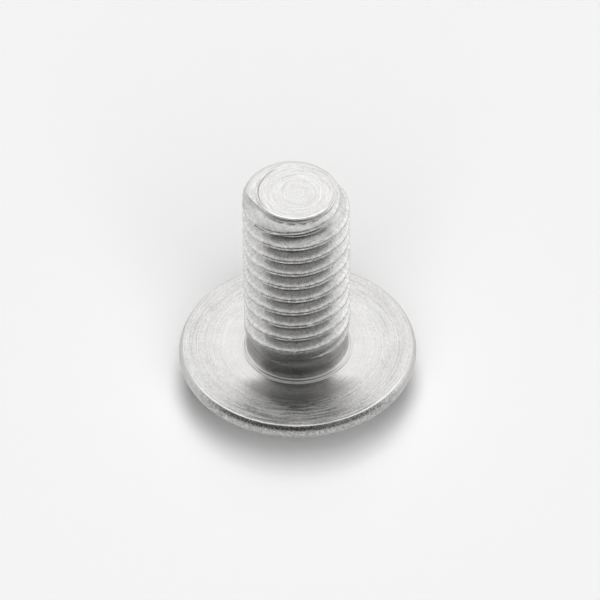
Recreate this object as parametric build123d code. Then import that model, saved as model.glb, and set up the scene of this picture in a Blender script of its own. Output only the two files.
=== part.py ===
"""Flanged button head screw, M6 x 1 x 12, turned and threaded from one piece of stainless steel.

Millimetres. The screw stands on the flat crown of its head: the origin is the centre of that
crown, and +Z runs up the shank to the tip.
"""
from math import acos, atan2, ceil, cos, degrees, hypot, radians, sin, tan
import os

from build123d import *

# head
head_height = 3.2  # crown to bearing face
crown_diameter = 6.0  # the flat that the head stands on
dome_diameter = 9.6  # foot of the dome, on the flange's flat back

# flange
flange_diameter = 13.2  # over the widest part of the rounded rim
rim_radius = 0.58  # the rim's swelling, seen in section
rim_face_inset = 0.25  # the bearing face's sharp edge lies this far inside the widest part

# hexagon socket
socket_across_flats = 4.05
socket_depth = 2.1  # depth of the full hexagon
socket_cone_depth = 0.35  # shallow point left by the punch
socket_lead_in = 0.12  # how far the mouth's bevel reaches past the corners

# shank
shank_length = 11.85  # bearing face to tip, 12 nominal
neck_diameter = 5.5  # plain stretch under the head
fillet_width = 0.3  # under-head fillet, measured along the bearing face
fillet_height = 0.6  # and up the neck
neck_length = 1.35  # bearing face to the start of the thread's shoulder
shoulder_length = 0.35  # cone from the neck out to the thread's crest
tip_rounding = 0.75  # from the crest in to the flat end, cut as two bevels

# thread, right hand
thread_diameter = 5.92  # over the crests
thread_pitch = 1.0
thread_half_angle = 30.0  # degrees, half of the groove's angle
root_flat_share = 0.25  # groove's floor, as a share of the pitch
crest_flat_share = 0.125  # land left between two turns
groove_start_height = 1.61  # middle of the groove's lower end, above the bearing face
groove_start_angle = 227.0  # degrees round from +X

# The groove's cutter stands this far proud of the crests, so that it leaves no skin.
cutter_overrun = 0.04

bearing_z = head_height
tip_z = bearing_z + shank_length
thread_radius = thread_diameter / 2
flank = tan(radians(thread_half_angle))
thread_depth = thread_pitch * (1 - root_flat_share - crest_flat_share) / 2 / flank
root_radius = thread_radius - thread_depth


def rim_arc():
    """The rim's round in half section, from the flange's back up to the bearing face's edge."""
    widest = flange_diameter / 2
    sweep_angle = degrees(acos(1 - rim_face_inset / rim_radius))
    half_thickness = rim_radius * sin(radians(sweep_angle))
    centre = (widest - rim_radius, bearing_z - half_thickness)
    return CenterArc(centre, rim_radius, -sweep_angle, 2 * sweep_angle)


def dome_arc(foot):
    """The dome in half section: part of a sphere centred on the axis, from the crown to its foot."""
    crown = crown_diameter / 2
    centre_z = (foot.X**2 - crown**2 + foot.Y**2) / (2 * foot.Y)
    crown_angle = degrees(atan2(-centre_z, crown))
    foot_angle = degrees(atan2(foot.Y - centre_z, foot.X))
    radius = hypot(crown, centre_z)
    return CenterArc((0, centre_z), radius, crown_angle, foot_angle - crown_angle)


def head_outline():
    """Half section of the head: crown, dome, flange's back, rim and bearing face."""
    rim = rim_arc()
    back = rim @ 0
    dome = dome_arc(Vector(dome_diameter / 2, back.Y))
    edges = [
        Line((0, 0), dome @ 0),
        dome,
        Line(dome @ 1, back),
        rim,
        Line(rim @ 1, (0, bearing_z)),
        Line((0, bearing_z), (0, 0)),
    ]
    return make_face(edges)


def shank_outline():
    """Half section of the shank before threading: fillet, neck, shoulder, crest and rounded tip."""
    neck = neck_diameter / 2
    shoulder_z = bearing_z + neck_length
    tip_centre = (thread_radius - tip_rounding, tip_z - tip_rounding)
    tip = CenterArc(tip_centre, tip_rounding, 0, 90)
    fillet_centre = (neck + fillet_width, bearing_z + fillet_height)
    under_head = EllipticalCenterArc(
        fillet_centre, fillet_width, fillet_height, start_angle=180, arc_size=90
    )
    points = [
        under_head @ 0,
        (neck, shoulder_z),
        (thread_radius, shoulder_z + shoulder_length),
        tip @ 0,
        tip @ 0.5,
        tip @ 1,
        (0, tip_z),
        (0, bearing_z),
        under_head @ 1,
    ]
    return make_face([under_head, Polyline(points)])


def blank():
    """The screw before its thread and its socket: one turned body."""
    section = Plane.XZ * (head_outline() + shank_outline())
    return revolve(section, axis=Axis.Z)


def socket():
    """The hexagon socket with the punch's shallow cone and a bevel round its mouth."""
    up = (Align.CENTER, Align.CENTER, Align.MIN)
    flat_radius = socket_across_flats / 2
    corner_radius = flat_radius / cos(radians(30))
    hexagon = extrude(RegularPolygon(corner_radius, 6), socket_depth)
    point = Pos(0, 0, socket_depth) * Cone(flat_radius, 0, socket_cone_depth, align=up)
    mouth_radius = corner_radius + socket_lead_in
    throat_radius = flat_radius - socket_lead_in
    mouth = Cone(mouth_radius, throat_radius, mouth_radius - throat_radius, align=up)
    return hexagon + point + mouth


def groove_turn(start_z):
    """One turn of the thread's groove, as a cutter, from start_z upward."""
    path = Helix(thread_pitch, thread_pitch, thread_radius, center=(0, 0, start_z))
    floor = root_radius - thread_radius
    half_floor = thread_pitch * root_flat_share / 2
    half_mouth = half_floor + (thread_depth + cutter_overrun) * flank
    outline = Polyline(
        (floor, -half_floor),
        (cutter_overrun, -half_mouth),
        (cutter_overrun, half_mouth),
        (floor, half_floor),
        close=True,
    )
    across = Plane(origin=path @ 0, x_dir=(1, 0, 0), z_dir=path % 0)
    turn = sweep(across * make_face(outline), path=path, is_frenet=True)
    return Rot(0, 0, groove_start_angle) * turn


def threaded(body):
    """Cuts the groove turn by turn, from its lower end until it has left the tip."""
    first = bearing_z + groove_start_height
    turns = ceil((tip_z - first) / thread_pitch + 0.5)
    for turn in range(turns):
        body = body - groove_turn(first + turn * thread_pitch)
    return body


screw = threaded(blank() - socket())
screw.label = "screw"
os.makedirs("parts", exist_ok=True)
export_step(screw, "parts/screw.step")
print(f"screw: {screw.volume:.2f} mm3, valid {screw.is_valid}")
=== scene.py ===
"""Looks of the flanged button head screw: its rolled thread, turned flange, rough rim and cut tip.

Lengths are millimetres until a mesh is written; the frame and Blender are in metres.
"""

from math import acos, atan2, ceil, cos, floor, hypot, pi, radians, sin, sqrt, tan

import bmesh
import bpy
from mathutils import Matrix, Vector


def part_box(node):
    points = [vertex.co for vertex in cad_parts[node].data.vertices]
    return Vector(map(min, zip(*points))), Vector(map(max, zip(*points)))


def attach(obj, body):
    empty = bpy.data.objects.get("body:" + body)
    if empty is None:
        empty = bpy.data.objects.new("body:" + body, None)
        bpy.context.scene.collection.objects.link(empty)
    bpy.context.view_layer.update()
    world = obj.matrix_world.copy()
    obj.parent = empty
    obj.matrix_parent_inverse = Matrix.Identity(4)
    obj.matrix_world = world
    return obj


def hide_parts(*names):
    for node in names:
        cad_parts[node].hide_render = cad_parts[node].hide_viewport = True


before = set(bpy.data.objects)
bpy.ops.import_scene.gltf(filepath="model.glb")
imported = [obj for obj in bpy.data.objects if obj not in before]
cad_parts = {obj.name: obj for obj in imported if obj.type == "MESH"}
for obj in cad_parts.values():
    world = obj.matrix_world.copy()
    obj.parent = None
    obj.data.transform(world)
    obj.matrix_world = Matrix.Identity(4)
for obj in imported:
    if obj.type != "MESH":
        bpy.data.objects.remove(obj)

MM = 0.001
MICRON = 0.000001
low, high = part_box("screw")
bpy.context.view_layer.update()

# Sizes of the whole, from the frame.
height = (high.z - low.z) / MM
flange_radius = (high.x - low.x) / 2 / MM

# Head.
shank_length = 11.85
bearing_z = height - shank_length
crown_radius = 3.0
dome_radius = 4.8
rim_radius = 0.58  # the rim's swelling, seen in section
face_inset = 0.25  # from the flange's widest part in to the bearing face's sharp edge
face_radius = flange_radius - face_inset

# How far the head's corners are eased on each side.
edge_round = 0.05
foot_round = 0.10
brow_round = 0.12

# Hexagon socket.
socket_apothem = 4.05 / 2
socket_depth = 2.1
socket_cone_depth = 0.35
socket_lead_in = 0.12

# Shank.
neck_radius = 2.75
fillet_height = 0.6
neck_length = 1.35
shoulder_length = 0.35

# The end's rounding sits off the axis, with a low lip round a shallow dish. The lip is steep at
# the front and the dish is level with it at the back.
end_rounding = 0.75
end_middle = 2.03  # from the axis to the middle of the rounding
end_offset = 0.21  # shift of the whole end towards -X
end_lean = 0.05  # and towards +Y
end_seam = 0.16  # this far below the top, the thread's mesh meets the lip's
dish_radius = 2.1
dish_depth = 0.07
dish_drop = 0.01  # from the top down to the dish's edge
lip_height = 0.10

# Thread, right hand.
crest_radius = 5.92 / 2
pitch = 1.0
root_share = 0.25
crest_share = 0.125
half_angle = 30.0  # half of the groove's angle
groove_start_height = 1.61  # middle of the groove's lower end, above the bearing face
groove_start_angle = 227.0  # degrees round from +X

# Mesh: columns round the axis, and rows up each turn of the thread, closest at the crest.
columns = 192
rows_per_turn = 30
crest_crowding = 0.30
corner_crowding = 0.45
face_rows = (4.2, 5.3)  # distances from the axis of the rows across the bearing face
rim_steps = 28
dome_steps = 14
easing_steps = 4
weld = 0.0006  # points closer than this become one
sharp_angle = 38.0  # edges that bend more than this stay sharp


# ---------------------------------------------------------------- node trees


class Wire:
    """One socket of a node tree. Python's operators on it add Math nodes."""

    def __init__(self, tree, socket):
        self.tree = tree
        self.socket = socket

    def math(self, operation, *others):
        inputs = dict(enumerate((self, *others)))
        return self.tree.add("ShaderNodeMath", {"operation": operation}, inputs).out()

    def __add__(self, other):
        return self.math("ADD", other)

    def __sub__(self, other):
        return self.math("SUBTRACT", other)

    def __mul__(self, other):
        return self.math("MULTIPLY", other)

    def __truediv__(self, other):
        return self.math("DIVIDE", other)

    def __pow__(self, other):
        return self.math("POWER", other)

    def __rsub__(self, other):
        return self.tree.number(other).math("SUBTRACT", self)

    def __rtruediv__(self, other):
        return self.tree.number(other).math("DIVIDE", self)

    __radd__ = __add__
    __rmul__ = __mul__

    def step(self, start, end):
        """0 below start and 1 above end, with a smooth change between."""
        settings = {"interpolation_type": "SMOOTHSTEP"}
        inputs = {"Value": self, "From Min": start, "From Max": end}
        return self.tree.add("ShaderNodeMapRange", settings, inputs).out("Result")


class Node:
    """A node that was added to a tree."""

    def __init__(self, tree, node):
        self.tree = tree
        self.node = node

    def out(self, name=0):
        return Wire(self.tree, self.node.outputs[name])


class Tree:
    """Adds nodes to one node tree, of a material, of the world or of a modifier."""

    def __init__(self, tree):
        self.tree = tree

    def add(self, kind, settings=None, inputs=None):
        """A node of one kind: its settings first, then the values or links of its sockets."""
        node = self.tree.nodes.new(kind)
        for name, value in (settings or {}).items():
            setattr(node, name, value)
        for name, value in (inputs or {}).items():
            self.feed(node.inputs[name], value)
        return Node(self, node)

    def feed(self, socket, value):
        """Links a wire to a socket, or sets the socket's own value."""
        if isinstance(value, Wire):
            self.tree.links.new(value.socket, socket)
        else:
            socket.default_value = value

    def number(self, value):
        """A plain number as a wire, for an operation that starts with it."""
        node = self.tree.nodes.new("ShaderNodeValue")
        node.outputs[0].default_value = value
        return Wire(self, node.outputs[0])

    def vector(self, x, y, z):
        return self.add("ShaderNodeCombineXYZ", None, {"X": x, "Y": y, "Z": z}).out()

    def parts(self, vector):
        """The distances of a place along X, Y and Z."""
        node = self.add("ShaderNodeSeparateXYZ", None, {"Vector": vector})
        return node.out("X"), node.out("Y"), node.out("Z")

    def noise(self, vector, scale, detail=2.0, roughness=0.5):
        """Noise in space, from about 0 to 1."""
        inputs = {"Vector": vector, "Scale": scale, "Detail": detail, "Roughness": roughness}
        return self.add("ShaderNodeTexNoise", {"noise_dimensions": "3D"}, inputs).out()

    def line_noise(self, value, scale, detail=2.0, roughness=0.5):
        """Noise along one value, from about 0 to 1."""
        inputs = {"W": value, "Scale": scale, "Detail": detail, "Roughness": roughness}
        return self.add("ShaderNodeTexNoise", {"noise_dimensions": "1D"}, inputs).out()

    def mix_colour(self, share, first, second):
        """A colour between two. They are the Mix node's inputs 6 and 7, and its output 2."""
        inputs = {"Factor": share, 6: first, 7: second}
        return self.add("ShaderNodeMix", {"data_type": "RGBA"}, inputs).out(2)


# ---------------------------------------------------------------- finishes


def new_material(name):
    """A new material, and its empty tree."""
    material = bpy.data.materials.new(name)
    material.use_nodes = True
    material.node_tree.nodes.clear()
    tree = Tree(material.node_tree)
    return material, tree


def steel(tree, colour, roughness, relief):
    """Bare steel: metal whose colour, roughness and relief, in microns, may vary."""
    bumps = {"Strength": 1.0, "Distance": 1.0, "Height": relief * MICRON}
    bump = tree.add("ShaderNodeBump", None, bumps)
    inputs = {
        "Base Color": colour,
        "Metallic": 1.0,
        "Roughness": roughness,
        "Normal": bump.out("Normal"),
    }
    shader = tree.add("ShaderNodeBsdfPrincipled", None, inputs)
    tree.add("ShaderNodeOutputMaterial", None, {"Surface": shader.out("BSDF")})


def object_millimetres(tree):
    """The place on the piece, in millimetres."""
    place = tree.add("ShaderNodeTexCoord").out("Object")
    scaled = tree.add("ShaderNodeVectorMath", {"operation": "SCALE"}, {0: place, "Scale": 1 / MM})
    return scaled.out("Vector")


def distance(x, y):
    """How far a place lies from an upright axis, from its distances along X and along Y."""
    return (x * x + y * y).math("SQRT")


def turned_face_steel():
    """The bearing face: bright, with the fine rings that the turning tool left."""
    material, tree = new_material("turned_face_steel")
    point = object_millimetres(tree)
    x, y, _ = tree.parts(point)
    radius = distance(x, y)
    outer = radius.step(3.5, 5.6)
    # front: 1 at the front, where painted shade darkens the face's colour below.
    front = 1 - y.step(-5.2, -3.7)

    # Rings from coarse to hair-fine, and arcs worn along them. They stand out on the outer part.
    patches = tree.noise(point, 0.9, 3.0)
    wander = (tree.noise(point, 0.5, 2.0) - 0.5) * 0.12
    coarse = tree.line_noise(radius + wander, 4.5, 4.0, 0.65)
    fine = tree.line_noise(radius, 13.0, 3.0, 0.6)
    hair = tree.line_noise(radius, 45.0, 1.0)
    worn = tree.noise(tree.vector(x * 0.45, y * 0.45, radius * 13.0), 1.0, 4.0, 0.7)
    grain = tree.noise(point, 12.0, 2.0)
    relief = coarse * 6.0 + worn * 26.0 + fine * (0.3 + patches) * 18.0 + hair * 1.6
    relief = relief * (outer * 0.85 + 0.15) + grain * (0.5 + outer * 1.8)

    # The arcs are stronger at the front, and the colour there is darkened: a painted dark
    # reflection.
    tone = (coarse - 0.5) * 0.4 + (worn - 0.5) * (2.2 + front * 1.6) + (fine - 0.5)
    tone = tone * (outer * 0.75 + 0.25) + (grain - 0.5) * (0.5 + outer)
    tone = tone + (patches - 0.5) * 0.5 + 0.55 - front * 0.1
    shade = tree.mix_colour(front, (0.39, 0.387, 0.383, 1), (0.22, 0.218, 0.215, 1))
    colour = tree.mix_colour(tone, shade, (0.63, 0.626, 0.62, 1))

    # A painted highlight runs along the sharp edge at the rim, most of all at the front.
    edge = (radius + (grain - 0.5) * 0.06).step(face_radius - 0.06, face_radius - 0.02)
    edge = edge * (1 - y.step(-4.5, -1.5) * 0.8)
    colour = tree.mix_colour(edge, colour, (0.75, 0.746, 0.74, 1))
    streak = worn.step(0.5, 0.66) * outer
    roughness = 0.14 + outer * 0.16 + streak * 0.22 + (patches - 0.5) * 0.08
    steel(tree, colour, roughness, relief)
    return material


def rolled_thread_steel():
    """The thread and neck: steel pressed smooth by the rolling dies, with faint marks along it."""
    material, tree = new_material("rolled_thread_steel")
    point = object_millimetres(tree)
    x, y, z = tree.parts(point)
    crest = tree.add("ShaderNodeAttribute", {"attribute_name": "crest_distance"}).out("Fac")
    threaded = z.step(bearing_z + 1.3, bearing_z + 1.7)
    end = z.step(height - 0.75, height - 0.45)

    # Streaks that follow the thread, over a grainy and mottled skin.
    streaks = tree.noise(tree.vector(x * 1.4, y * 1.4, crest * 10.0), 1.0, 3.0, 0.6)
    grain = tree.noise(point, 9.0, 4.0, 0.65)
    ragged = tree.noise(point, 5.0, 3.0, 0.7)
    patches = tree.noise(point, 1.1, 2.0)
    skin = tree.noise(point, 5.0, 3.0, 0.6)
    mottle = skin.step(0.4, 0.6) - 0.5

    # The thin fold that rolling leaves along the crests, broken here and there: a dent in the
    # relief, and a painted dark reflection in the colour.
    fold_and_painted_reflection = 1 - (crest + (ragged - 0.5) * 0.10).step(0.01, 0.045)
    fold_and_painted_reflection = fold_and_painted_reflection * tree.noise(point, 7.0, 2.0).step(0.42, 0.56)
    fold_and_painted_reflection = fold_and_painted_reflection * z.step(bearing_z + 0.8, bearing_z + 1.2) * (1 - end)

    # Faint level rings on the neck.
    rings = tree.line_noise(z + (ragged - 0.5) * 0.12, 5.0, 3.0, 0.6) * (1 - threaded)
    rings = rings * z.step(bearing_z + 0.5, bearing_z + 0.9)
    relief = streaks * 5.0 + grain * 8.0 + skin * 8.0 - fold_and_painted_reflection * 10.0 + rings * 22.0

    # Painted shade: flanks and neck are darker than the pale crests and end, and the roots get an
    # even, lighter grey.
    tone = (streaks - 0.5) * 0.7 + (patches - 0.5) * 0.5 + (grain - 0.5) + mottle * 0.4 + 0.5
    painted_groove_and_neck_shade = (1 - (1 - crest.step(0.12, 0.20)) * threaded) * (1 - end)
    root = crest.step(0.36, 0.46) * threaded
    colour = tree.mix_colour(tone, (0.46, 0.457, 0.452, 1), (0.72, 0.716, 0.71, 1))
    groove_and_neck_shade_colour = tree.mix_colour(tone, (0.38, 0.377, 0.372, 1), (0.58, 0.576, 0.57, 1))
    groove_and_neck_shade_colour = tree.mix_colour(root * 0.25, groove_and_neck_shade_colour, (0.44, 0.437, 0.432, 1))
    colour = tree.mix_colour(painted_groove_and_neck_shade, colour, groove_and_neck_shade_colour)

    # Painted highlight: the fillet's foot is paler. The fold is darkened as a painted dark
    # reflection, and the end is paler towards its back.
    foot = (1 - z.step(bearing_z + 0.14, bearing_z + 0.24)) * 0.7
    colour = tree.mix_colour(foot, colour, (0.62, 0.616, 0.61, 1))
    # Painted dark reflection along the fold.
    colour = tree.mix_colour(fold_and_painted_reflection * 0.55, colour, (0.14, 0.139, 0.137, 1))
    paler_end_back = z.step(height - 0.7, height - 0.1) * y.step(-0.8, 1.6)
    colour = tree.mix_colour(paler_end_back, colour, (0.60, 0.596, 0.59, 1))

    # The left of the end is a little matt, and so are the neck's rings.
    matt = z.step(height - 0.9, height - 0.6) * (1 - x.step(-1.9, -0.3))
    matt = matt * (1 - y.step(-0.4, 0.8) * 0.7)
    roughness = 0.34 - threaded * 0.12 + end * 0.08 + matt * 0.1 + (grain - 0.5) * 0.2
    roughness = roughness + rings.step(0.48, 0.60) * 0.35
    steel(tree, colour, roughness, relief)
    return material


def rough_rim_steel():
    """The rim: left as it was forged, with a fine pitted skin; painted shade darkens its front, so
    it is paler away from the front.
    """
    material, tree = new_material("rough_rim_steel")
    point = object_millimetres(tree)
    _, y, _ = tree.parts(point)
    # Painted shade: the rim's colour is darker at the front and paler away from it.
    painted_paler_sides = y.step(-4.6, -2.6) * 0.65
    pits = tree.noise(point, 5.0, 4.0, 0.65)
    grain = tree.noise(point, 11.0, 3.0, 0.6)
    relief = pits * 6.0 + grain * 13.0
    tone = pits.step(0.35, 0.65) * 0.5 + grain.step(0.4, 0.6) * 0.5
    colour = tree.mix_colour(tone, (0.27, 0.268, 0.265, 1), (0.60, 0.596, 0.59, 1))
    colour = tree.mix_colour(painted_paler_sides, colour, (0.60, 0.596, 0.59, 1))
    roughness = 0.26 + painted_paler_sides * 0.2 + (grain - 0.5) * 0.3
    steel(tree, colour, roughness, relief)
    return material


def cut_tip_steel():
    """The tip: uneven rings and arcs where the wire was cut and dressed."""
    material, tree = new_material("cut_tip_steel")
    point = object_millimetres(tree)
    x, y, _ = tree.parts(point)
    radius = distance(x, y)

    # Rings and arcs that run round a middle beside the axis, and fade there.
    off_axis = distance(x - 0.13, y + 0.1)
    warp = (tree.noise(point, 1.3, 2.0) - 0.5) * 0.5
    coarse = tree.line_noise(off_axis + warp, 6.0, 3.0, 0.6)
    arcs = tree.vector(x * 0.9, y * 0.9, (off_axis + warp * 0.5) * 10.0)
    swept = tree.noise(arcs, 1.0, 3.0, 0.65)
    grain = tree.noise(point, 9.0, 3.0)
    rings = off_axis.step(0.0, 0.9) * 0.8 + 0.2
    relief = (coarse * 7.0 + swept * 20.0) * rings + grain * 7.0
    tone = ((coarse - 0.5) * 0.6 + (swept - 0.5) * 1.6) * rings + (grain - 0.5) * 0.8 + 0.5
    colour = tree.mix_colour(tone, (0.42, 0.417, 0.413, 1), (0.70, 0.696, 0.69, 1))

    # Painted highlight: the lip is bright at the front. Painted shade: a dark line runs inside it
    # on the left.
    lip = radius.step(dish_radius - 0.03, dish_radius + 0.01) * (1 - y.step(-1.8, -0.9))
    colour = tree.mix_colour(lip, colour, (0.88, 0.875, 0.865, 1))
    # Painted shade inside the lip, on the left.
    painted_lip_shade = radius.step(dish_radius - 0.11, dish_radius - 0.04)
    painted_lip_shade = painted_lip_shade * (1 - radius.step(dish_radius - 0.03, dish_radius + 0.03))
    painted_lip_shade = painted_lip_shade * (1 - x.step(-1.7, -0.4)) * (0.7 - y.step(0.2, 1.6) * 0.5)
    colour = tree.mix_colour(painted_lip_shade, colour, (0.22, 0.218, 0.215, 1))
    roughness = 0.30 + (swept - 0.5) * 0.3
    steel(tree, colour, roughness, relief)
    return material


def forged_head_steel():
    """The dome, crown and socket: smooth forged steel, a little duller than the turned face."""
    material, tree = new_material("forged_head_steel")
    point = object_millimetres(tree)
    skin = tree.noise(point, 3.0, 4.0, 0.6)
    grain = tree.noise(point, 12.0, 2.0)
    relief = skin * 5.0 + grain * 1.2
    colour = tree.mix_colour(skin, (0.36, 0.357, 0.353, 1), (0.48, 0.477, 0.473, 1))
    roughness = 0.30 + (grain - 0.5) * 0.12
    steel(tree, colour, roughness, relief)
    return material


# ---------------------------------------------------------------- thread

neck_top = bearing_z + fillet_height
first_groove = bearing_z + groove_start_height
start_turn = groove_start_angle / 360
flank_slope = tan(radians(half_angle))
groove_depth = pitch * (1 - root_share - crest_share) / 2 / flank_slope
end_foot = height - end_rounding

# Rows run from well below the neck to well above the tip; what lies outside closes onto the ends.
lowest_row = floor((neck_top - first_groove) / pitch - (1 - start_turn))
highest_row = ceil((height - first_groove) / pitch + start_turn)

# Each of these is an input of the thread's tree. The groove aims a little deeper than its floor,
# because rounding the root takes some of its depth away.
thread_sizes = {
    "Columns": columns,
    "Rows": (highest_row - lowest_row) * rows_per_turn,
    "Lowest row": lowest_row,
    "Turns of rows": highest_row - lowest_row,
    "Bottom": neck_top,
    "Top": height - end_seam,
    "Pitch": pitch,
    "First groove": first_groove,
    "Start turn": start_turn,
    "Run-in": 0.68,
    "Crest radius": crest_radius,
    "Crest flat": crest_share * pitch,
    "Flank slope": flank_slope,
    "Depth": groove_depth + 0.05,
    "Last depth": 0.10,
    "Last height": 0.3,
    "Crest rounding": 0.07,
    "Root rounding": 0.30,
    "Neck radius": neck_radius,
    "Shoulder foot": bearing_z + neck_length,
    "Shoulder length": shoulder_length,
    "End foot": end_foot,
    "End rounding": end_rounding,
    "End middle": end_middle,
    "End offset": end_offset,
    "End lean": end_lean,
    "End slope": 1.0,
    "Sink foot": end_foot - 0.6,
    "Sink height": 0.4,
    "Sink share": 0.75,
    "Sink radius": 2.25,
    "Sink rounding": 0.06,
    "Sink easing": 0.04,
    "Burr foot": end_foot - 0.1,
    "Burr height": 0.2,
    "Edge rounding": 0.05,
    "Wander": 0.03,
    "Unevenness": 0.012,
    "Raggedness": 0.035,
}


def thread_tree(material):
    """Geometry nodes that make the threaded shank from the neck to the tip, as one open tube."""
    group = bpy.data.node_groups.new("rolled_thread", "GeometryNodeTree")
    group.interface.new_socket("Geometry", in_out="INPUT", socket_type="NodeSocketGeometry")
    for name, value in thread_sizes.items():
        kind = "NodeSocketInt" if isinstance(value, int) else "NodeSocketFloat"
        group.interface.new_socket(name, in_out="INPUT", socket_type=kind)
    group.interface.new_socket("Geometry", in_out="OUTPUT", socket_type="NodeSocketGeometry")
    tree = Tree(group)
    entry = tree.add("NodeGroupInput")
    size = {name: entry.out(name) for name in thread_sizes}

    grid_sizes = {
        "Size X": 1.0,
        "Size Y": 1.0,
        "Vertices X": size["Columns"] + 1.0,
        "Vertices Y": size["Rows"] + 1.0,
    }
    grid = tree.add("GeometryNodeMeshGrid", None, grid_sizes)
    across, up, _ = tree.parts(tree.add("GeometryNodeInputPosition").out())
    turn = across + 0.5
    east = (turn * (2 * pi)).math("COSINE")
    north = (turn * (2 * pi)).math("SINE")

    # Rows crowd towards the crest and its corners, where the profile bends most.
    row = size["Lowest row"] + (up + 0.5) * size["Turns of rows"]
    crowd = (row * (2 * pi)).math("SINE") * (crest_crowding / (2 * pi))
    crowd = crowd - (row * (4 * pi)).math("SINE") * (corner_crowding / (4 * pi))
    groove_here = size["First groove"] + (turn - size["Start turn"]) * size["Pitch"]
    level = groove_here + (row + crowd) * size["Pitch"]
    level = level.math("MAXIMUM", size["Bottom"]).math("MINIMUM", size["Top"])

    # Whole turns are the middles of grooves, and half turns are crests. Both wander a little.
    around = tree.vector(east * size["Crest radius"], north * size["Crest radius"], level)
    wander = (tree.noise(around, 0.9, 3.0, 0.6) - 0.5) * size["Wander"]
    turns = (level - groove_here) / size["Pitch"] + wander
    above_crest = turns - 0.5
    from_crest = (above_crest - above_crest.math("ROUND")).math("ABSOLUTE") * size["Pitch"]
    depth = (from_crest - size["Crest flat"] * 0.5) / size["Flank slope"]
    depth = depth.math("SMOOTH_MAX", 0.0, size["Crest rounding"])
    rise = level - size["End foot"]
    last = rise.step(0.0, size["Last height"]) * size["Last depth"]
    depth = depth.math("SMOOTH_MIN", size["Depth"] + last, size["Root rounding"])

    # The groove deepens from nothing over its first part of a turn.
    travelled = turns.math("ROUND") + turn - size["Start turn"]
    depth = depth * travelled.step(0.0, size["Run-in"])

    # The cut-off end leaves a burr that closes the last groove, from the tip's back to its left.
    burr = turn.step(0.20, 0.32) * (1 - turn.step(0.47, 0.585))
    burr = burr * (level - size["Burr foot"]).step(0.0, size["Burr height"])
    depth = depth * (1 - burr)

    # The groove is cut from a blank: the neck, its shoulder, the crests and the rounded end.
    shoulder = (level - size["Shoulder foot"]).step(0.0, size["Shoulder length"])
    envelope = size["Neck radius"] + shoulder * (size["Crest radius"] - size["Neck radius"])
    bend = rise.math("MAXIMUM", 0.0).math("MINIMUM", size["End rounding"])
    bend = (size["End rounding"] ** 2.0 - bend * bend).math("SQRT")
    end = size["End middle"] - size["End offset"] * east + size["End lean"] * north + bend
    end = end - rise.math("MINIMUM", 0.0) * size["End slope"]
    envelope = envelope.math("MINIMUM", end)

    # The last groove also sinks into the rounded end, but no deeper than a radius of its own.
    sink = (level - size["Sink foot"]).step(0.0, size["Sink height"])
    sunk = envelope - sink * size["Sink share"] * depth
    sunk = sunk.math("SMOOTH_MAX", size["Sink radius"], size["Sink rounding"])
    envelope = envelope.math("SMOOTH_MIN", sunk, size["Sink easing"])

    # Rolling leaves the whole surface slightly uneven, and the crests ragged.
    uneven = (tree.noise(around, 2.2, 3.0, 0.6) - 0.5) * size["Unevenness"]
    ragged = (tree.noise(around, 5.0, 2.0) - 0.5) * size["Raggedness"]
    ragged = ragged * (1 - (from_crest / size["Crest flat"]).step(0.6, 1.2))
    cut = size["Crest radius"] - depth + uneven + ragged
    radius = cut.math("SMOOTH_MIN", envelope, size["Edge rounding"])

    # The grid is rolled up; the distance from the crest is stored first, while it is still flat.
    place = tree.vector(east * radius * MM, north * radius * MM, level * MM)
    marked = tree.add(
        "GeometryNodeStoreNamedAttribute",
        {"data_type": "FLOAT", "domain": "POINT"},
        {"Geometry": grid.out("Mesh"), "Name": "crest_distance", "Value": from_crest},
    )
    steps = {
        "GeometryNodeSetPosition": {"Position": place},
        "GeometryNodeMergeByDistance": {"Distance": weld * MM},
        "GeometryNodeRealizeInstances": {},
        "GeometryNodeSetMaterial": {"Material": material},
    }
    shank = marked.out()
    for kind, inputs in steps.items():
        shank = tree.add(kind, None, {"Geometry": shank, **inputs}).out()
    tree.add("NodeGroupOutput", None, {"Geometry": shank})
    return group


def threaded_shank(material):
    """The thread's mesh, worked out by its geometry nodes."""
    carrier = bpy.data.objects.new("shank_maker", bpy.data.meshes.new("shank_maker"))
    bpy.context.collection.objects.link(carrier)
    modifier = carrier.modifiers.new("rolled_thread", "NODES")
    modifier.node_group = thread_tree(material)
    for socket in modifier.node_group.interface.items_tree:
        if socket.in_out == "INPUT" and socket.name in thread_sizes:
            modifier[socket.identifier] = thread_sizes[socket.name]
    depsgraph = bpy.context.evaluated_depsgraph_get()
    mesh = bpy.data.meshes.new_from_object(carrier.evaluated_get(depsgraph), depsgraph=depsgraph)
    bpy.data.objects.remove(carrier)
    return mesh


# ---------------------------------------------------------------- head and tip


def round_row(radius, level):
    """A ring of the lathe's outline: the same distance from the axis all round."""
    return lambda angle: (radius, level)


def socket_radius(angle):
    """Distance from the axis to the hexagon's wall, with a corner on the +X axis."""
    off_middle = (angle + pi / 6) % (pi / 3) - pi / 6
    return socket_apothem / cos(pi / 6 - abs(off_middle))


def hexagon_row(level):
    """A ring of the outline that follows the socket's walls."""
    return lambda angle: (socket_radius(angle), level)


def eased(before, corner, after, length):
    """Points that ease a corner of an outline over a short length on each side."""
    before, corner, after = Vector(before), Vector(corner), Vector(after)
    start = corner + (before - corner).normalized() * length
    end = corner + (after - corner).normalized() * length
    points = []
    for step in range(easing_steps + 1):
        t = step / easing_steps
        points.append(start.lerp(corner, t).lerp(corner.lerp(end, t), t))
    return points


def arc(centre, radius, start, end, steps):
    """Points of an arc; the angles run from the outline's outward direction."""
    points = []
    for step in range(steps + 1):
        angle = start + (end - start) * step / steps
        points.append(Vector((centre[0] + radius * cos(angle), centre[1] + radius * sin(angle))))
    return points


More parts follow.
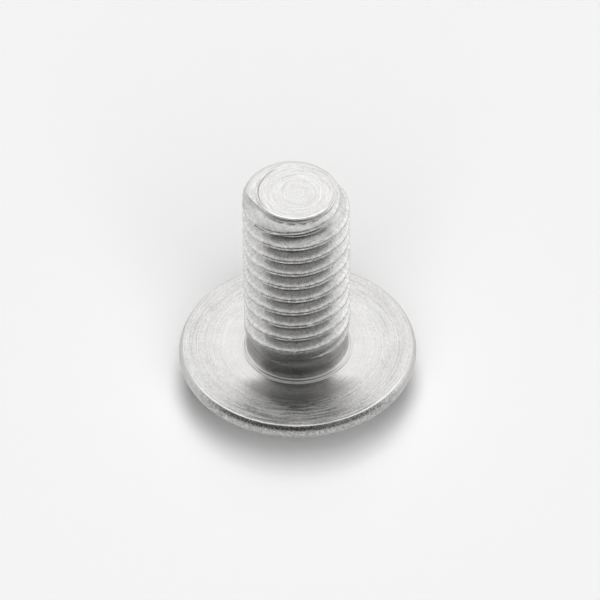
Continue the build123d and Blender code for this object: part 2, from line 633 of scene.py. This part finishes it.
def fillet_outline():
    """From the neck down and out to the bearing face, over a raised ring and a fainter one.

    Each point gives its distance out from the neck and up from the bearing face.
    """
    points = [(0.0, fillet_height), (0.006, 0.48), (0.022, 0.37), (0.048, 0.27), (0.078, 0.195)]
    points += [(0.105, 0.155), (0.13, 0.135), (0.155, 0.122), (0.18, 0.10), (0.2, 0.068)]
    points += [(0.222, 0.036), (0.25, 0.015), (0.285, 0.006), (0.315, 0.014), (0.34, 0.016)]
    points += [(0.362, 0.009), (0.38, 0.0)]
    return [Vector((neck_radius + across, bearing_z + up)) for across, up in points]


def rim_outline():
    """The rim's swelling, from the bearing face's sharp edge to the flange's back."""
    reach = acos(1 - face_inset / rim_radius)
    centre = (flange_radius - rim_radius, bearing_z - rim_radius * sin(reach))
    return arc(centre, rim_radius, reach, -reach, rim_steps)


def dome_outline(back_z):
    """The dome, part of a sphere, from its foot on the flange to the crown."""
    centre_z = (dome_radius**2 - crown_radius**2 + back_z**2) / (2 * back_z)
    start = atan2(back_z - centre_z, dome_radius)
    end = atan2(-centre_z, crown_radius)
    return arc((0, centre_z), hypot(crown_radius, centre_z), start, end, dome_steps)


def head_bands(finish):
    """Bands of rows with their finishes, from the neck round the head and into the socket."""
    fillet = fillet_outline()
    rim = rim_outline()
    dome = dome_outline(rim[-1].y)
    mouth = socket_apothem / cos(pi / 6) + socket_lead_in
    edge = eased(fillet[-1], rim[0], rim[1], edge_round)
    back = eased(rim[-2], rim[-1], dome[0], edge_round)
    foot = eased(rim[-1], dome[0], dome[1], foot_round)
    brow = eased(dome[-2], dome[-1], (mouth, 0), brow_round)
    face = [Vector((radius, bearing_z)) for radius in face_rows]

    # The bevel round the mouth ends on the hexagon's walls, and the floor is the punch's cone.
    walls = [lambda angle: (socket_radius(angle), mouth - socket_radius(angle))]
    walls.append(hexagon_row(socket_depth))
    cone = [round_row(socket_apothem, socket_depth)]
    for share in (0.6, 0.3, 0.02):
        drop = socket_cone_depth * (1 - share)
        cone.append(round_row(socket_apothem * share, socket_depth + drop))
    return [
        (fillet, finish["thread"]),
        ([fillet[-1], *face, *edge], finish["face"]),
        ([edge[-1], *rim[2:-2], *back], finish["rim"]),
        ([back[-1], *foot, *dome[1:-1], *brow, Vector((mouth, 0))], finish["head"]),
        ([round_row(mouth, 0), *walls, *cone], finish["head"]),
    ]


def end_level(radius, angle):
    """Height of the end's skin outside the dish, at a distance from the axis."""
    beyond = max(radius - end_middle + end_offset * cos(angle) - end_lean * sin(angle), 0.0)
    return end_foot + sqrt(max(end_rounding**2 - beyond**2, 0.0))


def share_facing(angle, middle, start, end):
    """0 to 1 round the axis: 1 near the middle angle, 0 on the far side, with an eased change."""
    share = min(max((cos(angle - radians(middle)) - start) / (end - start), 0.0), 1.0)
    return share * share * (3 - 2 * share)


def at_front(angle):
    """1 at the front of the tip and 0 at its back."""
    return share_facing(angle, 270, -0.2, 0.6)


def tip_bands(finish, seam):
    """From the shank's upper seam over the lip, and into the shallow dish."""

    def lip_row(share, inward, outside, climb):
        """A row of the end's skin, a share of the way from the seam to the dish's edge.

        At the front the end has a ledge and a steep lip instead. There the row has gone inward by
        a share of the ledge, stands a distance outside the dish, and has climbed a share of the
        lip.
        """

        def row(angle):
            radius = seam(angle) * (1 - share) + dish_radius * share
            level = end_level(radius, angle)
            front = at_front(angle)
            steep_radius = seam(angle) + (dish_radius + outside - seam(angle)) * inward
            ledge = height - end_seam + (end_seam - lip_height) * inward
            steep_level = ledge + (height - ledge) * climb
            radius += (steep_radius - radius) * front
            return radius, level + (steep_level - level) * front

        return row

    def dish_edge(angle):
        """Height of the dish's edge, which is lowest at the front left."""
        return height - dish_drop - dish_depth * share_facing(angle, 220, -0.3, 0.4)

    def wall_row(across, share):
        """A row just inside the lip, a share of the way down to the dish's edge."""

        def row(angle):
            top = end_level(dish_radius, angle)
            return dish_radius - across, top + (dish_edge(angle) - top) * share

        return row

    def floor_row(radius):
        """A row of the dish's floor, which runs straight from its edge to the axis."""

        def row(angle):
            middle_z = height - dish_drop - dish_depth / 2
            return radius, middle_z + (dish_edge(angle) - middle_z) * radius / dish_radius

        return row

    ledge = [
        lip_row(0.0, 0.0, 0.0, 0.0),
        lip_row(0.15, 0.5, 0.09, 0.0),
        lip_row(0.3, 0.9, 0.09, 0.0),
        lip_row(0.45, 1.0, 0.085, 0.05),
        lip_row(0.6, 1.0, 0.08, 0.4),
    ]
    lip = [
        ledge[-1],
        lip_row(0.72, 1.0, 0.075, 0.66),
        lip_row(0.82, 1.0, 0.062, 0.84),
        lip_row(0.9, 1.0, 0.042, 0.96),
        lip_row(0.96, 1.0, 0.02, 1.0),
        lip_row(1.0, 1.0, 0.0, 1.0),
    ]
    drops = ((0.008, 0.06), (0.022, 0.35), (0.038, 0.75), (0.06, 1.0))
    wall = [wall_row(across, share) for across, share in drops]
    dish = [floor_row(radius) for radius in (1.96, 1.6, 1.1, 0.6, 0.25, 0.03)]
    return [(ledge, finish["thread"]), ([*lip, *wall, *dish], finish["tip"])]


def seam_radius(mesh, level):
    """Distance from the axis to the mesh's open edge at a height, for each column's angle."""
    found = {}
    same_level = 0.0001
    for vert in mesh.verts:
        if abs(vert.co.z / MM - level) < same_level:
            turn = atan2(vert.co.y, vert.co.x) / (2 * pi)
            found[round(turn * columns) % columns] = hypot(vert.co.x, vert.co.y) / MM
    return lambda angle: found[round(angle / (2 * pi) * columns) % columns]


def add_bands(mesh, bands):
    """Turns each band of rows round the axis; the last ring of the last band is closed."""
    for rows, finish in bands:
        rings = []
        for row in rows:
            ring_at = row if callable(row) else round_row(row.x, row.y)
            ring = []
            for column in range(columns):
                angle = 2 * pi * column / columns
                radius, level = ring_at(angle)
                place = (radius * cos(angle) * MM, radius * sin(angle) * MM, level * MM)
                ring.append(mesh.verts.new(place))
            rings.append(ring)
        for lower, upper in zip(rings, rings[1:]):
            for column in range(columns):
                after = (column + 1) % columns
                corners = (lower[column], lower[after], upper[after], upper[column])
                mesh.faces.new(corners).material_index = finish
    mesh.faces.new(rings[-1]).material_index = finish


def make_screw():
    """The whole screw as one piece: the threaded shank, the head and the tip.

    The weld leaves a hairline gap open at each end of the shank: 0.007 mm at the neck, and up to
    0.06 mm at the tip's seam.
    """
    makers = {
        "thread": rolled_thread_steel,
        "face": turned_face_steel,
        "rim": rough_rim_steel,
        "head": forged_head_steel,
        "tip": cut_tip_steel,
    }
    materials = [maker() for maker in makers.values()]
    finish = {name: index for index, name in enumerate(makers)}
    mesh = bmesh.new()
    mesh.from_mesh(threaded_shank(materials[0]))

    # The shank comes with a list of materials of its own, so its faces are given their finish.
    for face in mesh.faces:
        face.material_index = finish["thread"]
    add_bands(mesh, head_bands(finish))
    add_bands(mesh, tip_bands(finish, seam_radius(mesh, height - end_seam)))
    bmesh.ops.remove_doubles(mesh, verts=mesh.verts, dist=weld * MM)
    bmesh.ops.recalc_face_normals(mesh, faces=mesh.faces)
    skin = bpy.data.meshes.new("turned_screw")
    mesh.to_mesh(skin)
    mesh.free()
    for material in materials:
        skin.materials.append(material)
    skin.shade_smooth()
    skin.set_sharp_from_angle(angle=radians(sharp_angle))
    screw = bpy.data.objects.new("turned_screw", skin)
    bpy.context.collection.objects.link(screw)
    return screw


# ---------------------------------------------------------------- studio

# Soft panels that the steel mirrors: azimuth and elevation in degrees, and brightness.
# Azimuth 0 is the camera's side and 90 is the right.
panels = {
    "front_low": (0, 12, 0.07),
    "front_high": (0, 50, 0.14),
    "front_left": (-52, 32, 0.20),
    "front_right": (52, 32, 0.42),
    "overhead": (180, 89, 1.75),
    "back": (180, 45, 1.92),
    "back_low": (180, 8, 1.60),
    "left": (-110, 25, 1.45),
    "right": (110, 25, 1.78),
}
panel_sharpness = 14.0
backdrop = 0.913  # brightness beyond the floor, as the camera sees it

# Soft lamps over the floor: azimuth, elevation and width in degrees, and brightness on the floor.
lamps = {
    "back_lamp": (176, 72, 30, 0.18),
    "over_lamp": (90, 89, 28, 0.17),
    "front_lamp": (4, 72, 30, 0.23),
    "low_front_lamp": (4, 38, 60, 0.325),
}
floor_tone = 0.9
floor_reach = 2.0  # metres from the screw to the floor's edges

# Camera: elevation and roll in degrees, and its lengths in millimetres.
camera_elevation = 44.8
camera_roll = -0.68
camera_distance = 605.0
camera_aim = Vector((0.165, 0.0, bearing_z + 3.45))
view_width = 33.2


def toward(azimuth, elevation):
    """Unit vector for an azimuth measured from the camera's side and an elevation."""
    a, e = radians(azimuth), radians(elevation)
    return Vector((sin(a) * cos(e), -cos(a) * cos(e), sin(e)))


def studio_light():
    """A dome of soft panels that blend into each other. What the camera sees of it is plain."""
    world = bpy.data.worlds.new("studio")
    world.use_nodes = True
    world.node_tree.nodes.clear()
    tree = Tree(world.node_tree)
    direction = tree.add("ShaderNodeTexCoord").out("Generated")
    light = tree.number(0.0)
    share = tree.number(1e-6)  # never 0, so that it can divide
    for azimuth, elevation, level in panels.values():
        inputs = {0: direction, 1: toward(azimuth, elevation)}
        facing = tree.add("ShaderNodeVectorMath", {"operation": "DOT_PRODUCT"}, inputs)
        weight = facing.out("Value").math("MAXIMUM", 0.0) ** panel_sharpness
        light = light + weight * level
        share = share + weight
    seen = tree.add("ShaderNodeLightPath").out("Is Camera Ray")
    strength = (light / share) * (1 - seen) + seen * backdrop
    background = tree.add("ShaderNodeBackground", None, {"Strength": strength})
    tree.add("ShaderNodeOutputWorld", None, {"Surface": background.out()})
    bpy.context.scene.world = world
    world.cycles_visibility.diffuse = False


def floor_lamps():
    """Wide soft lamps that light the floor and that the steel doesn't mirror."""
    for name, (azimuth, elevation, width, level) in lamps.items():
        data = bpy.data.lights.new(name, "SUN")
        data.angle = radians(width)
        # Enough for that brightness on a matt floor, which the lamp meets at a slant.
        data.energy = level * pi / floor_tone / sin(radians(elevation))
        lamp = bpy.data.objects.new(name, data)
        lamp.visible_glossy = False
        lamp.rotation_euler = toward(azimuth, elevation).to_track_quat("Z", "Y").to_euler()
        bpy.context.collection.objects.link(lamp)


def pale_floor():
    """A plain matt floor under the head."""
    mesh = bmesh.new()
    bmesh.ops.create_grid(mesh, x_segments=1, y_segments=1, size=floor_reach)
    sheet = bpy.data.meshes.new("floor")
    mesh.to_mesh(sheet)
    mesh.free()
    floor_piece = bpy.data.objects.new("floor", sheet)
    bpy.context.collection.objects.link(floor_piece)
    material, tree = new_material("pale_floor")
    inputs = {"Color": (floor_tone, floor_tone, floor_tone, 1), "Roughness": 0.0}
    shader = tree.add("ShaderNodeBsdfDiffuse", None, inputs)
    tree.add("ShaderNodeOutputMaterial", None, {"Surface": shader.out()})
    sheet.materials.append(material)


def add_camera():
    """A long lens that looks down on the screw from the front."""
    roll = radians(camera_roll)
    back = toward(0, camera_elevation)
    right = Vector((1, 0, 0))
    up = back.cross(right)
    right, up = right * cos(roll) + up * sin(roll), up * cos(roll) - right * sin(roll)
    data = bpy.data.cameras.new("camera")
    data.lens = data.sensor_width * camera_distance / view_width
    data.clip_start = 0.01
    data.clip_end = 10.0
    camera = bpy.data.objects.new("camera", data)
    place = Matrix.Translation((camera_aim + back * camera_distance) * MM)
    camera.matrix_world = place @ Matrix((right, up, back)).transposed().to_4x4()
    bpy.context.collection.objects.link(camera)
    bpy.context.scene.camera = camera


add_camera()
studio_light()
floor_lamps()
pale_floor()
bpy.context.scene.view_settings.view_transform = "Standard"

screw = make_screw()
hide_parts("screw")
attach(screw, "root")
